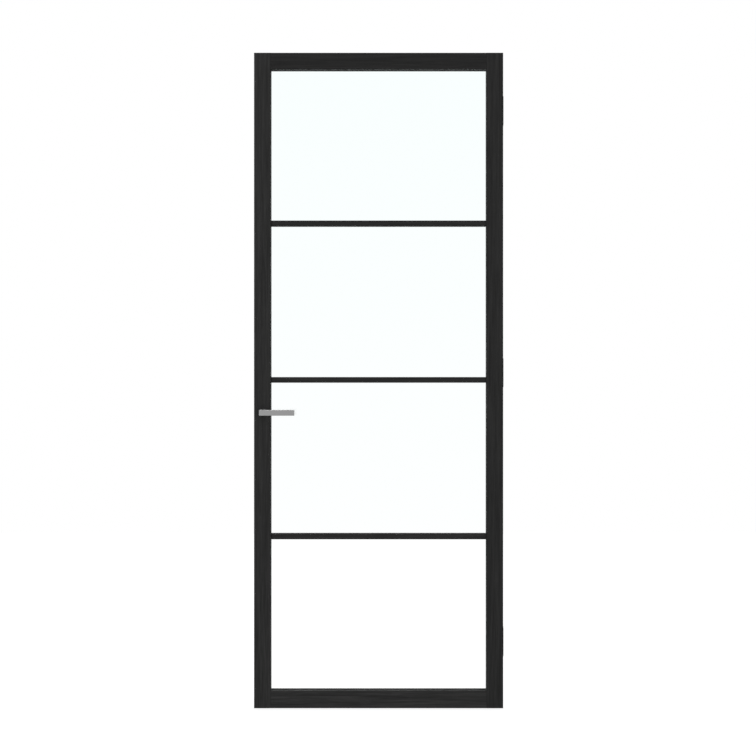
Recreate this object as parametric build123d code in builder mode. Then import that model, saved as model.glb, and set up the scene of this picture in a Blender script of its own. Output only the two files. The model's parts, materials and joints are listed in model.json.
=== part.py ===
from build123d import *
import os

os.makedirs("parts", exist_ok=True)

# A black timber door leaf with four panes of glass, hung on three narrow butt hinges and
# closed by a small latch with a lever on each side.
# Millimetres, +Z up. The origin is under the middle of the leaf. The side in view faces -Y,
# the latch is at -X and the hinges are at +X.

# The leaf
LEAF_WIDTH = 880.0
LEAF_HEIGHT = 2315.0
LEAF_THICKNESS = 40.0
STILE_WIDTH = 59.0
TOP_RAIL_HEIGHT = 58.0
BOTTOM_RAIL_HEIGHT = 62.0
BAR_COUNT = 3
BAR_HEIGHT = 20.0
BAR_SETBACK = 5.5
BAR_DEPTH = 29.0
WEB_THICKNESS = 8.0
ARRIS = 0.8

# The glazing
GLASS_THICKNESS = 5.0
GLASS_ARRIS = 0.5
GLASS_CLEARANCE = 2.0
TAPE_THICKNESS = 1.5
TAPE_SETBACK = 0.5
REBATE_DEPTH = 12.0
BEAD_CHAMFER = 2.0
BLOCK_LENGTH = 60.0
BLOCK_SPREAD = 400.0

# The joints in the wood
TENON_THICKNESS = 12.0
TENON_LENGTH = 35.0
STUB_LENGTH = 20.0
RAIL_HAUNCH = 14.0
TENON_LIP = 4.0
GLUE_SPACE = 2.0

# The hinges
HINGE_CENTRES = (230.0, 1185.0, 2115.0)
HINGE_LENGTH = 100.0
HINGE_GAP = 1.0
FLAP_THICKNESS = 2.0
FLAP_WIDTH = 20.0
KNUCKLE_COUNT = 3
KNUCKLE_RADIUS = 4.5
KNUCKLE_GAP = 0.8
KNUCKLE_CLEARANCE = 0.7
PIN_RADIUS = 2.5
PIN_FIT = 0.02
PIN_PLAY = 0.06
PIN_HEAD = 2.5
PIN_HEAD_TAPER = 20.0
WASHER_INSET = 0.12
WASHER_THICKNESS = 0.6
HINGE_HOLE_SPREADS = (78.0, 30.0)

# The lever set
LEVER_AXIS_INSET = 32.0
LEVER_AXIS_HEIGHT = 1045.0
LEVER_LENGTH = 123.5
LEVER_HEIGHT = 20.0
REAR_GRIP_LENGTH = 56.0
LEVER_THICKNESS = 9.0
LEVER_STANDOFF = 52.0
LEVER_EDGE_EASE = 1.0
NECK_RADIUS = 8.3
NECK_GAP = 0.3
JOURNAL_RADIUS = 7.0
BEARING_PLAY = 0.05
SPINDLE_SIDE = 8.0
SPINDLE_PLAY = 0.1
SPINDLE_LENGTH = 116.0
GRUB_RADIUS = 2.0
GRUB_LENGTH = 3.8
GRUB_DEPTH_IN = 20.0
ROSE_SIDE = 24.0
ROSE_DEPTH = 8.0
ROSE_WALL = 1.3
BASE_SIDE = 21.0
BASE_DEPTH = 5.5
BASE_SCREW_OFFSET = 8.0

# The latch
CASE_WALL = 1.5
CASE_THICKNESS = 13.0
CASE_LOW = LEVER_AXIS_HEIGHT - 32.0
CASE_HIGH = LEVER_AXIS_HEIGHT + 52.0
CASE_DEPTH = 41.0
POCKET_PLAY = 0.5
FOREND_THICKNESS = 3.0
FOREND_WIDTH = 20.0
FOREND_LENGTH = 160.0
FOREND_CENTRE = LEVER_AXIS_HEIGHT + 10.0
FOREND_SCREW_SPREAD = 144.0
BOLT_THICKNESS = 9.6
BOLT_HEIGHT = 20.0
BOLT_CENTRE = LEVER_AXIS_HEIGHT + 30.0
BOLT_HEAD = 14.0
BOLT_PLAY = 0.2
BOLT_BEVEL = 1.0
TAIL_LENGTH = 28.0
TAIL_PLATE = 2.8
CROSS_PIN_INSET = 1.5
CROSS_PIN_HEIGHT = LEVER_AXIS_HEIGHT + 24.0
CROSS_PIN_RADIUS = 1.5
FOLLOWER_RADIUS = 9.0
ARM_THICKNESS = 3.0
ARM_HALF_WIDTH = 2.5
ARM_REACH = 25.5
ARM_LEAN = 30.0
HEEL_REACH = 17.5
SPRING_WIRE = 0.9
RETURN_SPRING_RADIUS = 3.0
RETURN_SPRING_TURNS = 5
BOLT_SPRING_RADIUS = 1.3
BOLT_SPRING_TURNS = 8
BOLT_SPRING_WIRE = 0.5
STEPS_PER_TURN = 8
SPRING_END_PER_WIRE = 0.6
BOLT_SPRING_HEIGHT = LEVER_AXIS_HEIGHT + 35.0

# The screws: head radius, shank radius, length
HINGE_SCREW = (3.3, 1.75, 32.0)
FOREND_SCREW = (3.3, 1.75, 25.0)
ROSE_SCREW = (2.2, 1.25, 16.0)
PILOT_PLAY = 0.05
SINK_ANGLE = 90.0

# The holes for the hinge and forend screws, and those in the rose bases
SCREW_HOLE_RADIUS = 2.0
SCREW_SINK_RADIUS = 3.4
BASE_HOLE_RADIUS = 1.3
BASE_SINK_RADIUS = 2.3

# Depths through the leaf, from the side in view to the back
FRONT = -LEAF_THICKNESS / 2
REAR = LEAF_THICKNESS / 2
GLASS_FRONT = -GLASS_THICKNESS / 2
GLASS_REAR = GLASS_THICKNESS / 2
REBATE_SEAT = GLASS_FRONT - TAPE_THICKNESS
BEAD_SEAT = GLASS_REAR + TAPE_THICKNESS
BAR_FRONT = FRONT + BAR_SETBACK
BAR_REAR = BAR_FRONT + BAR_DEPTH
TENON_REAR = REBATE_SEAT + TENON_THICKNESS

# Distances from the leaf's middle line
EDGE = LEAF_WIDTH / 2
SIGHT = EDGE - STILE_WIDTH
REBATE = SIGHT + REBATE_DEPTH
GLASS_EDGE = REBATE - GLASS_CLEARANCE
TAPE_EDGE = SIGHT + TAPE_SETBACK

# The panes, counted from the top of the leaf
PANE_COUNT = BAR_COUNT + 1
PANE_HEIGHT = (
    LEAF_HEIGHT - TOP_RAIL_HEIGHT - BOTTOM_RAIL_HEIGHT - BAR_COUNT * BAR_HEIGHT
) / PANE_COUNT
BAR_LIP = (BAR_HEIGHT - WEB_THICKNESS) / 2

# The lever and the latch
LEVER_X = -EDGE + LEVER_AXIS_INSET
LEVER_FRONT = FRONT - LEVER_STANDOFF
LEVER_BACK = LEVER_FRONT + LEVER_THICKNESS
ROSE_FRONT = FRONT - ROSE_DEPTH
NECK_END = ROSE_FRONT - NECK_GAP
JOURNAL_END = FRONT - NECK_GAP
CASE_FRONT_X = -EDGE + FOREND_THICKNESS
CASE_BACK_X = CASE_FRONT_X + CASE_DEPTH
CASE_HALF = CASE_THICKNESS / 2
BEARING_RADIUS = JOURNAL_RADIUS + BEARING_PLAY
SOCKET_SIDE = SPINDLE_SIDE + SPINDLE_PLAY

# The hinge axis lies behind the leaf, over the middle of the gap
HINGE_X = EDGE + HINGE_GAP / 2
HINGE_Y = REAR + KNUCKLE_RADIUS + KNUCKLE_CLEARANCE
KNUCKLE_LENGTH = (HINGE_LENGTH - (KNUCKLE_COUNT - 1) * KNUCKLE_GAP) / KNUCKLE_COUNT


def sight_span(pane):
    """Lowest and highest visible point of a pane."""
    top = LEAF_HEIGHT - TOP_RAIL_HEIGHT - (pane - 1) * (PANE_HEIGHT + BAR_HEIGHT)
    return top - PANE_HEIGHT, top


def rebate_span(pane):
    """Lowest and highest point of the rebate that a pane stands in."""
    low, high = sight_span(pane)
    low -= REBATE_DEPTH if pane == PANE_COUNT else BAR_LIP
    high += REBATE_DEPTH if pane == 1 else BAR_LIP
    return low, high


def bar_centre(bar):
    """Height of a bar's middle."""
    return sight_span(bar)[0] - BAR_HEIGHT / 2


def upright(y):
    """Sketch plane parallel to the leaf's faces. Its normal points to the side in view."""
    return Plane.XZ.offset(-y)


def rectangle(low_u, high_u, low_v, high_v):
    """Rectangle between two corners, added to the sketch in hand."""
    with Locations(((low_u + high_u) / 2, (low_v + high_v) / 2)):
        Rectangle(high_u - low_u, high_v - low_v)


# Screws

def countersunk_screw(head_radius, shank_radius, length):
    """A plain screw that points down, with its head's flat face at the origin."""
    with BuildPart() as screw:
        with BuildSketch(Plane.XZ):
            with BuildLine():
                Polyline(
                    (0, 0),
                    (head_radius, 0),
                    (shank_radius, shank_radius - head_radius),
                    (shank_radius, -length),
                    (0, -length),
                    close=True,
                )
            make_face()
        revolve(axis=Axis.Z)
    return screw.part


def sunk_hole(radius, sink_radius, depth):
    """A countersunk hole at the places in hand, whose sink a screw's head fills."""
    CounterSinkHole(radius, sink_radius, depth=depth, counter_sink_angle=SINK_ANGLE)


def pilot_hole(screw):
    """The hole that a screw of this size fills."""
    head_radius, shank_radius, length = screw
    sunk_hole(shank_radius + PILOT_PLAY, head_radius, length)


def hinge_screw_places(centre, x, side):
    """Planes at a flap's four screws, facing to one side."""
    y = REAR - FLAP_WIDTH / 2
    return [
        Plane(origin=(x, y, centre + sign * spread / 2), z_dir=(side, 0, 0))
        for spread in HINGE_HOLE_SPREADS
        for sign in (-1, 1)
    ]


FOREND_SCREW_PLACES = [
    Plane(origin=(-EDGE, 0, FOREND_CENTRE + sign * FOREND_SCREW_SPREAD / 2), z_dir=(-1, 0, 0))
    for sign in (-1, 1)
]
ROSE_SCREW_PLACES = [
    Plane(
        origin=(
            LEVER_X + sign * BASE_SCREW_OFFSET,
            face * (LEAF_THICKNESS / 2 + BASE_DEPTH),
            LEVER_AXIS_HEIGHT + sign * BASE_SCREW_OFFSET,
        ),
        z_dir=(0, face, 0),
    )
    for face in (-1, 1)
    for sign in (-1, 1)
]


# Stiles

TENONS = [
    (RAIL_HAUNCH, BOTTOM_RAIL_HEIGHT - REBATE_DEPTH - TENON_LIP, TENON_LENGTH),
    (
        LEAF_HEIGHT - TOP_RAIL_HEIGHT + REBATE_DEPTH + TENON_LIP,
        LEAF_HEIGHT - RAIL_HAUNCH,
        TENON_LENGTH,
    ),
]
for bar_number in range(1, BAR_COUNT + 1):
    middle = bar_centre(bar_number)
    TENONS.append((middle - WEB_THICKNESS / 2, middle + WEB_THICKNESS / 2, STUB_LENGTH))


def stile_blank(side):
    """A stile with its glazing rebate and mortises, before any ironmongery is let in."""
    with BuildPart() as blank:
        with BuildSketch(Plane.XY):
            with BuildLine():
                Polyline(
                    (side * (SIGHT + ARRIS), FRONT),
                    (side * (EDGE - ARRIS), FRONT),
                    (side * EDGE, FRONT + ARRIS),
                    (side * EDGE, REAR - ARRIS),
                    (side * (EDGE - ARRIS), REAR),
                    (side * REBATE, REAR),
                    (side * REBATE, REBATE_SEAT),
                    (side * SIGHT, REBATE_SEAT),
                    (side * SIGHT, FRONT + ARRIS),
                    close=True,
                )
            make_face()
        extrude(amount=LEAF_HEIGHT)
        for low, high, length in TENONS:
            with BuildSketch(Plane.YZ.offset(side * REBATE)):
                rectangle(REBATE_SEAT, TENON_REAR, low, high)
            extrude(amount=side * (length + GLUE_SPACE), mode=Mode.SUBTRACT)
    return blank.part


with BuildPart() as lock_stile:
    add(stile_blank(-1))
    # The forend lies flush in the edge, and the case stands in the pocket behind it
    with BuildSketch(Plane.YZ.offset(-EDGE)):
        with Locations((0, FOREND_CENTRE)):
            SlotOverall(FOREND_LENGTH, FOREND_WIDTH, rotation=90)
    extrude(amount=FOREND_THICKNESS, mode=Mode.SUBTRACT)
    with BuildSketch(Plane.YZ.offset(CASE_FRONT_X)):
        rectangle(
            -CASE_HALF - POCKET_PLAY,
            CASE_HALF + POCKET_PLAY,
            CASE_LOW - POCKET_PLAY,
            CASE_HIGH + POCKET_PLAY,
        )
    extrude(amount=CASE_DEPTH + POCKET_PLAY, mode=Mode.SUBTRACT)
    with BuildSketch(upright(0)):
        with Locations((LEVER_X, LEVER_AXIS_HEIGHT)):
            Circle(FOLLOWER_RADIUS)
    extrude(amount=LEAF_THICKNESS, both=True, mode=Mode.SUBTRACT)
    with Locations(*FOREND_SCREW_PLACES):
        pilot_hole(FOREND_SCREW)
    with Locations(*ROSE_SCREW_PLACES):
        pilot_hole(ROSE_SCREW)
lock_stile.part.label = "lock_stile"
export_step(lock_stile.part, "parts/lock_stile.step")

with BuildPart() as hinge_stile:
    add(stile_blank(1))
    for centre in HINGE_CENTRES:
        with BuildSketch(Plane.YZ.offset(EDGE)):
            rectangle(
                REAR - FLAP_WIDTH, REAR, centre - HINGE_LENGTH / 2, centre + HINGE_LENGTH / 2
            )
        extrude(amount=-FLAP_THICKNESS, mode=Mode.SUBTRACT)
        with Locations(*hinge_screw_places(centre, EDGE, 1)):
            pilot_hole(HINGE_SCREW)
hinge_stile.part.label = "hinge_stile"
export_step(hinge_stile.part, "parts/hinge_stile.step")


# Rails

def rail(outer, sight, tenon):
    """A rail with a long shoulder in front, a short one at the rebate, and a haunched tenon."""
    inward = 1 if sight > outer else -1
    rebate = sight - inward * REBATE_DEPTH
    with BuildPart() as blank:
        with BuildSketch(Plane.YZ):
            with BuildLine():
                Polyline(
                    (FRONT + ARRIS, outer),
                    (FRONT, outer + inward * ARRIS),
                    (FRONT, sight - inward * ARRIS),
                    (FRONT + ARRIS, sight),
                    (REBATE_SEAT, sight),
                    (REBATE_SEAT, outer),
                    close=True,
                )
            make_face()
        extrude(amount=SIGHT, both=True)
        with BuildSketch(Plane.YZ):
            with BuildLine():
                Polyline(
                    (REBATE_SEAT, outer),
                    (REBATE_SEAT, rebate),
                    (REAR, rebate),
                    (REAR, outer + inward * ARRIS),
                    (REAR - ARRIS, outer),
                    close=True,
                )
            make_face()
        extrude(amount=REBATE, both=True)
        with BuildSketch(Plane.YZ):
            rectangle(REBATE_SEAT, TENON_REAR, tenon[0], tenon[1])
        extrude(amount=REBATE + TENON_LENGTH, both=True)
    return blank.part


with BuildPart() as bottom_rail:
    add(rail(0, BOTTOM_RAIL_HEIGHT, TENONS[0]))
bottom_rail.part.label = "bottom_rail"
export_step(bottom_rail.part, "parts/bottom_rail.step")

with BuildPart() as top_rail:
    add(rail(LEAF_HEIGHT, LEAF_HEIGHT - TOP_RAIL_HEIGHT, TENONS[1]))
top_rail.part.label = "top_rail"
export_step(top_rail.part, "parts/top_rail.step")


# Glazing bars: a moulding in front, a thin web between the panes, and a stub tenon each end

for bar_number in range(1, BAR_COUNT + 1):
    middle = bar_centre(bar_number)
    web_low = middle - WEB_THICKNESS / 2
    web_high = middle + WEB_THICKNESS / 2
    bar_low = middle - BAR_HEIGHT / 2
    bar_high = middle + BAR_HEIGHT / 2
    with BuildPart() as glazing_bar:
        with BuildSketch(Plane.YZ):
            with BuildLine():
                Polyline(
                    (BAR_FRONT, bar_low + ARRIS),
                    (BAR_FRONT, bar_high - ARRIS),
                    (BAR_FRONT + ARRIS, bar_high),
                    (REBATE_SEAT, bar_high),
                    (REBATE_SEAT, web_high),
                    (BAR_REAR, web_high),
                    (BAR_REAR, web_low),
                    (REBATE_SEAT, web_low),
                    (REBATE_SEAT, bar_low),
                    (BAR_FRONT + ARRIS, bar_low),
                    close=True,
                )
            make_face()
        extrude(amount=SIGHT, both=True)
        for side in (-1, 1):
            with BuildSketch(Plane.YZ.offset(side * SIGHT)):
                rectangle(REBATE_SEAT, REAR, web_low, web_high)
            extrude(amount=side * REBATE_DEPTH)
            with BuildSketch(Plane.YZ.offset(side * REBATE)):
                rectangle(REBATE_SEAT, TENON_REAR, web_low, web_high)
            extrude(amount=side * STUB_LENGTH)
    glazing_bar.part.label = f"glazing_bar_{bar_number}"
    export_step(glazing_bar.part, f"parts/glazing_bar_{bar_number}.step")


# Glass, tape and beads, pane by pane

def bead_points(seat, sight, rear):
    """Section of a bead, as points across the rebate and from front to rear."""
    ease = BEAD_CHAMFER if sight > seat else -BEAD_CHAMFER
    return [
        (seat, BEAD_SEAT),
        (sight, BEAD_SEAT),
        (sight, rear - BEAD_CHAMFER),
        (sight - ease, rear),
        (seat, rear),
    ]


def level_bead(seat, sight, rear):
    """A bead along the top or bottom of a pane, between the two upright ones."""
    section_plane = Plane(origin=(0, 0, 0), x_dir=(0, 0, 1), z_dir=(-1, 0, 0))
    with BuildPart() as bead:
        with BuildSketch(section_plane):
            with BuildLine():
                Polyline(*bead_points(seat, sight, rear), close=True)
            make_face()
        extrude(amount=SIGHT, both=True)
    return bead.part


for pane in range(1, PANE_COUNT + 1):
    sight_low, sight_high = sight_span(pane)
    rebate_low, rebate_high = rebate_span(pane)
    glass_low = rebate_low + GLASS_CLEARANCE
    glass_high = rebate_high - GLASS_CLEARANCE

    with BuildPart() as glass_pane:
        with BuildSketch(upright(GLASS_REAR)):
            rectangle(-GLASS_EDGE, GLASS_EDGE, glass_low, glass_high)
        extrude(amount=GLASS_THICKNESS)
        chamfer(glass_pane.edges(), GLASS_ARRIS)
    glass_pane.part.label = f"glass_pane_{pane}"
    export_step(glass_pane.part, f"parts/glass_pane_{pane}.step")

    with BuildPart() as glazing_tape:
        for rear_face in (GLASS_FRONT, BEAD_SEAT):
            with BuildSketch(upright(rear_face)) as tape_outline:
                rectangle(-GLASS_EDGE, GLASS_EDGE, glass_low, glass_high)
                with Locations((0, (sight_low + sight_high) / 2)):
                    Rectangle(
                        2 * TAPE_EDGE, PANE_HEIGHT + 2 * TAPE_SETBACK, mode=Mode.SUBTRACT
                    )
            extrude(amount=TAPE_THICKNESS)
    glazing_tape.part.label = f"glazing_tape_{pane}"
    export_step(glazing_tape.part, f"parts/glazing_tape_{pane}.step")

    for name, side in (("left", -1), ("right", 1)):
        with BuildPart() as side_bead:
            with BuildSketch(Plane.XY.offset(rebate_low)):
                with BuildLine():
                    Polyline(*bead_points(side * REBATE, side * SIGHT, REAR), close=True)
                make_face()
            extrude(amount=rebate_high - rebate_low)
        side_bead.part.label = f"bead_{pane}_{name}"
        export_step(side_bead.part, f"parts/bead_{pane}_{name}.step")

    with BuildPart() as top_bead:
        add(level_bead(rebate_high, sight_high, REAR if pane == 1 else BAR_REAR))
    top_bead.part.label = f"bead_{pane}_top"
    export_step(top_bead.part, f"parts/bead_{pane}_top.step")

    with BuildPart() as bottom_bead:
        add(level_bead(rebate_low, sight_low, REAR if pane == PANE_COUNT else BAR_REAR))
    bottom_bead.part.label = f"bead_{pane}_bottom"
    export_step(bottom_bead.part, f"parts/bead_{pane}_bottom.step")

with BuildPart() as setting_blocks:
    for pane in range(1, PANE_COUNT + 1):
        with Locations((0, 0, rebate_span(pane)[0] + GLASS_CLEARANCE / 2)):
            with GridLocations(BLOCK_SPREAD, 0, 2, 1):
                Box(BLOCK_LENGTH, GLASS_THICKNESS, GLASS_CLEARANCE)
setting_blocks.part.label = "setting_blocks"
export_step(setting_blocks.part, "parts/setting_blocks.step")


# Hinges

def knuckle_base(centre, knuckle):
    """Height of a knuckle's lower face, counted from the lowest."""
    return centre - HINGE_LENGTH / 2 + knuckle * (KNUCKLE_LENGTH + KNUCKLE_GAP)


def hinge_flap(centre, side, knuckles, bore_radius):
    """One flap with its knuckles. The countersinks open towards the gap between the flaps."""
    gap_face = HINGE_X + side * HINGE_GAP / 2
    back_face = gap_face + side * FLAP_THICKNESS
    near, far = sorted((gap_face, back_face))
    with BuildPart() as flap:
        with BuildSketch(Plane.XY.offset(centre - HINGE_LENGTH / 2)):
            rectangle(near, far, REAR - FLAP_WIDTH, REAR)
        extrude(amount=HINGE_LENGTH)
        for knuckle in knuckles:
            with BuildSketch(Plane.XY.offset(knuckle_base(centre, knuckle))):
                rectangle(near, far, REAR, HINGE_Y)
                with Locations((HINGE_X, HINGE_Y)):
                    Circle(KNUCKLE_RADIUS)
                    Circle(bore_radius, mode=Mode.SUBTRACT)
            extrude(amount=KNUCKLE_LENGTH)
        with Locations(*hinge_screw_places(centre, gap_face, -side)):
            sunk_hole(SCREW_HOLE_RADIUS, SCREW_SINK_RADIUS, FLAP_THICKNESS)
    return flap.part


JAMB_KNUCKLES = range(0, KNUCKLE_COUNT, 2)
LEAF_KNUCKLES = range(1, KNUCKLE_COUNT, 2)

for number, centre in enumerate(HINGE_CENTRES, 1):
    with BuildPart() as leaf_hinge_flap:
        add(hinge_flap(centre, -1, LEAF_KNUCKLES, PIN_RADIUS + PIN_PLAY))
    leaf_hinge_flap.part.label = f"leaf_hinge_flap_{number}"
    export_step(leaf_hinge_flap.part, f"parts/leaf_hinge_flap_{number}.step")

    with BuildPart() as jamb_hinge_flap:
        add(hinge_flap(centre, 1, JAMB_KNUCKLES, PIN_RADIUS + PIN_FIT))
    jamb_hinge_flap.part.label = f"jamb_hinge_flap_{number}"
    export_step(jamb_hinge_flap.part, f"parts/jamb_hinge_flap_{number}.step")

    with BuildPart() as hinge_pin:
        with BuildSketch(Plane.XY.offset(centre - HINGE_LENGTH / 2)):
            with Locations((HINGE_X, HINGE_Y)):
                Circle(PIN_RADIUS)
        extrude(amount=HINGE_LENGTH)
        for end in (-1, 1):
            with BuildSketch(Plane.XY.offset(centre + end * HINGE_LENGTH / 2)):
                with Locations((HINGE_X, HINGE_Y)):
                    Circle(KNUCKLE_RADIUS)
            extrude(amount=end * PIN_HEAD, taper=PIN_HEAD_TAPER)
    hinge_pin.part.label = f"hinge_pin_{number}"
    export_step(hinge_pin.part, f"parts/hinge_pin_{number}.step")

with BuildPart() as hinge_washers:
    for centre in HINGE_CENTRES:
        for knuckle in LEAF_KNUCKLES:
            seat = knuckle_base(centre, knuckle) - KNUCKLE_GAP
            with BuildSketch(Plane.XY.offset(seat)):
                with Locations((HINGE_X, HINGE_Y)):
                    Circle(KNUCKLE_RADIUS - WASHER_INSET)
                    Circle(PIN_RADIUS + PIN_PLAY, mode=Mode.SUBTRACT)
            extrude(amount=WASHER_THICKNESS)
hinge_washers.part.label = "hinge_washers"
export_step(hinge_washers.part, "parts/hinge_washers.step")

with BuildPart() as hinge_screws:
    for centre in HINGE_CENTRES:
        with Locations(*hinge_screw_places(centre, EDGE, 1)):
            add(countersunk_screw(*HINGE_SCREW))
hinge_screws.part.label = "hinge_screws"
export_step(hinge_screws.part, "parts/hinge_screws.step")


# Latch

SPINDLE_PLACE = (LEVER_X, LEVER_AXIS_HEIGHT)
BOLT_LOW = BOLT_CENTRE - BOLT_HEIGHT / 2
BOLT_HIGH = BOLT_CENTRE + BOLT_HEIGHT / 2
BOLT_HALF = BOLT_THICKNESS / 2

with BuildPart() as latch_case:
    # An open tray: its floor is on the side in view, and the cover closes it from the back
    with BuildSketch(upright(CASE_HALF - CASE_WALL)):
        rectangle(CASE_FRONT_X, CASE_BACK_X, CASE_LOW, CASE_HIGH)
    extrude(amount=CASE_THICKNESS - CASE_WALL)
    with BuildSketch(upright(CASE_HALF - CASE_WALL)):
        rectangle(
            CASE_FRONT_X + CASE_WALL,
            CASE_BACK_X - CASE_WALL,
            CASE_LOW + CASE_WALL,
            CASE_HIGH - CASE_WALL,
        )
    extrude(amount=CASE_THICKNESS - 2 * CASE_WALL, mode=Mode.SUBTRACT)
    with BuildSketch(Plane.YZ.offset(CASE_FRONT_X)):
        rectangle(
            -BOLT_HALF - BOLT_PLAY, BOLT_HALF + BOLT_PLAY, BOLT_LOW - BOLT_PLAY, BOLT_HIGH + BOLT_PLAY
        )
    extrude(amount=CASE_WALL, mode=Mode.SUBTRACT)
    with BuildSketch(upright(0)):
        with Locations(SPINDLE_PLACE):
            Circle(BEARING_RADIUS)
    extrude(amount=CASE_THICKNESS, mode=Mode.SUBTRACT)
latch_case.part.label = "latch_case"
export_step(latch_case.part, "parts/latch_case.step")

with BuildPart() as latch_case_cover:
    with BuildSketch(upright(CASE_HALF)):
        rectangle(CASE_FRONT_X, CASE_BACK_X, CASE_LOW, CASE_HIGH)
        with Locations(SPINDLE_PLACE):
            Circle(BEARING_RADIUS, mode=Mode.SUBTRACT)
    extrude(amount=CASE_WALL)
latch_case_cover.part.label = "latch_case_cover"
export_step(latch_case_cover.part, "parts/latch_case_cover.step")

with BuildPart() as forend:
    with BuildSketch(Plane.YZ.offset(-EDGE)):
        with Locations((0, FOREND_CENTRE)):
            SlotOverall(FOREND_LENGTH, FOREND_WIDTH, rotation=90)
        with Locations((0, BOLT_CENTRE)):
            Rectangle(
                BOLT_THICKNESS + 2 * BOLT_PLAY, BOLT_HEIGHT + 2 * BOLT_PLAY, mode=Mode.SUBTRACT
            )
    extrude(amount=FOREND_THICKNESS)
    with Locations(*FOREND_SCREW_PLACES):
        sunk_hole(SCREW_HOLE_RADIUS, SCREW_SINK_RADIUS, FOREND_THICKNESS)
forend.part.label = "forend"
export_step(forend.part, "parts/forend.step")

with BuildPart() as forend_screws:
    with Locations(*FOREND_SCREW_PLACES):
        add(countersunk_screw(*FOREND_SCREW))
forend_screws.part.label = "forend_screws"
export_step(forend_screws.part, "parts/forend_screws.step")

TAIL_START = -EDGE + BOLT_HEAD
TAIL_END = TAIL_START + TAIL_LENGTH

with BuildPart() as latch_bolt:
    # The head
    with BuildSketch(Plane.YZ.offset(-EDGE)):
        rectangle(-BOLT_HALF, BOLT_HALF, BOLT_LOW, BOLT_HIGH)
    extrude(amount=BOLT_HEAD)
    chamfer(latch_bolt.faces().sort_by(Axis.X)[0].edges(), BOLT_BEVEL)
    # The forked tail, with a pin across it for the follower's arm to push
    for side in (-1, 1):
        plate_rear = BOLT_HALF if side > 0 else TAIL_PLATE - BOLT_HALF
        with BuildSketch(upright(plate_rear)):
            rectangle(TAIL_START, TAIL_END, BOLT_LOW, BOLT_HIGH)
        extrude(amount=TAIL_PLATE)
    with BuildSketch(upright(BOLT_HALF)):
        with Locations((TAIL_END - CROSS_PIN_INSET, CROSS_PIN_HEIGHT)):
            Circle(CROSS_PIN_RADIUS)
    extrude(amount=BOLT_THICKNESS)
latch_bolt.part.label = "latch_bolt"
export_step(latch_bolt.part, "parts/latch_bolt.step")

with BuildPart() as follower:
    # The hub turns between the case walls, and its collars turn in them
    with BuildSketch(upright(0)):
        with Locations(SPINDLE_PLACE):
            Circle(FOLLOWER_RADIUS)
    extrude(amount=BOLT_HALF, both=True)
    with BuildSketch(upright(0)):
        with Locations(SPINDLE_PLACE):
            Circle(JOURNAL_RADIUS)
    extrude(amount=CASE_HALF, both=True)
    # The arm leans towards the forend at rest, and the heel presses the return spring
    with BuildSketch(upright(0)):
        with Locations(Location((LEVER_X, LEVER_AXIS_HEIGHT, 0), (0, 0, ARM_LEAN))):
            rectangle(-ARM_HALF_WIDTH, ARM_HALF_WIDTH, 0, ARM_REACH)
            with Locations((0, ARM_REACH)):
                Circle(ARM_HALF_WIDTH)
    extrude(amount=ARM_THICKNESS / 2, both=True)
    with BuildSketch(upright(0)):
        with Locations(SPINDLE_PLACE):
            rectangle(-ARM_HALF_WIDTH, ARM_HALF_WIDTH, -HEEL_REACH, 0)
            with Locations((0, -HEEL_REACH)):
                Circle(ARM_HALF_WIDTH)
    extrude(amount=BOLT_HALF, both=True)
    with BuildSketch(upright(0)):
        with Locations(SPINDLE_PLACE):
            Rectangle(SOCKET_SIDE, SOCKET_SIDE)
    extrude(amount=CASE_THICKNESS, both=True, mode=Mode.SUBTRACT)
follower.part.label = "follower"
export_step(follower.part, "parts/follower.step")


def coil_spring(start, length, radius, turns, wire):
    """A spring of square wire that runs along +X from a point, each turn in short straight steps."""
    steps = turns * STEPS_PER_TURN
    end_room = wire * SPRING_END_PER_WIRE
    rise = (length - 2 * end_room) / steps
    corners = []
    for step in range(steps + 1):
        spoke = Vector(0, radius, 0).rotate(Axis.X, step * 360 / STEPS_PER_TURN)
        corners.append(Vector(*start) + Vector(end_room + step * rise, 0, 0) + spoke)
    with BuildPart() as spring:
        with BuildLine() as path:
            Polyline(*corners)
        with BuildSketch(Plane(origin=corners[0], z_dir=corners[1] - corners[0])):
            Rectangle(wire, wire)
        sweep(transition=Transition.RIGHT)
    return spring.part


with BuildPart() as latch_spring:
    add(
        coil_spring(
            (TAIL_START, 0, BOLT_SPRING_HEIGHT),
            CASE_BACK_X - CASE_WALL - TAIL_START,
            BOLT_SPRING_RADIUS,
            BOLT_SPRING_TURNS,
            BOLT_SPRING_WIRE,
        )
    )
latch_spring.part.label = "latch_spring"
export_step(latch_spring.part, "parts/latch_spring.step")

with BuildPart() as follower_spring:
    add(
        coil_spring(
            (CASE_FRONT_X + CASE_WALL, 0, LEVER_AXIS_HEIGHT - HEEL_REACH),
            LEVER_X - ARM_HALF_WIDTH - CASE_FRONT_X - CASE_WALL,
            RETURN_SPRING_RADIUS,
            RETURN_SPRING_TURNS,
            SPRING_WIRE,
        )
    )
follower_spring.part.label = "follower_spring"
export_step(follower_spring.part, "parts/follower_spring.step")


# Lever set: each piece is drawn at the front, and those at the back are mirrored

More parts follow.
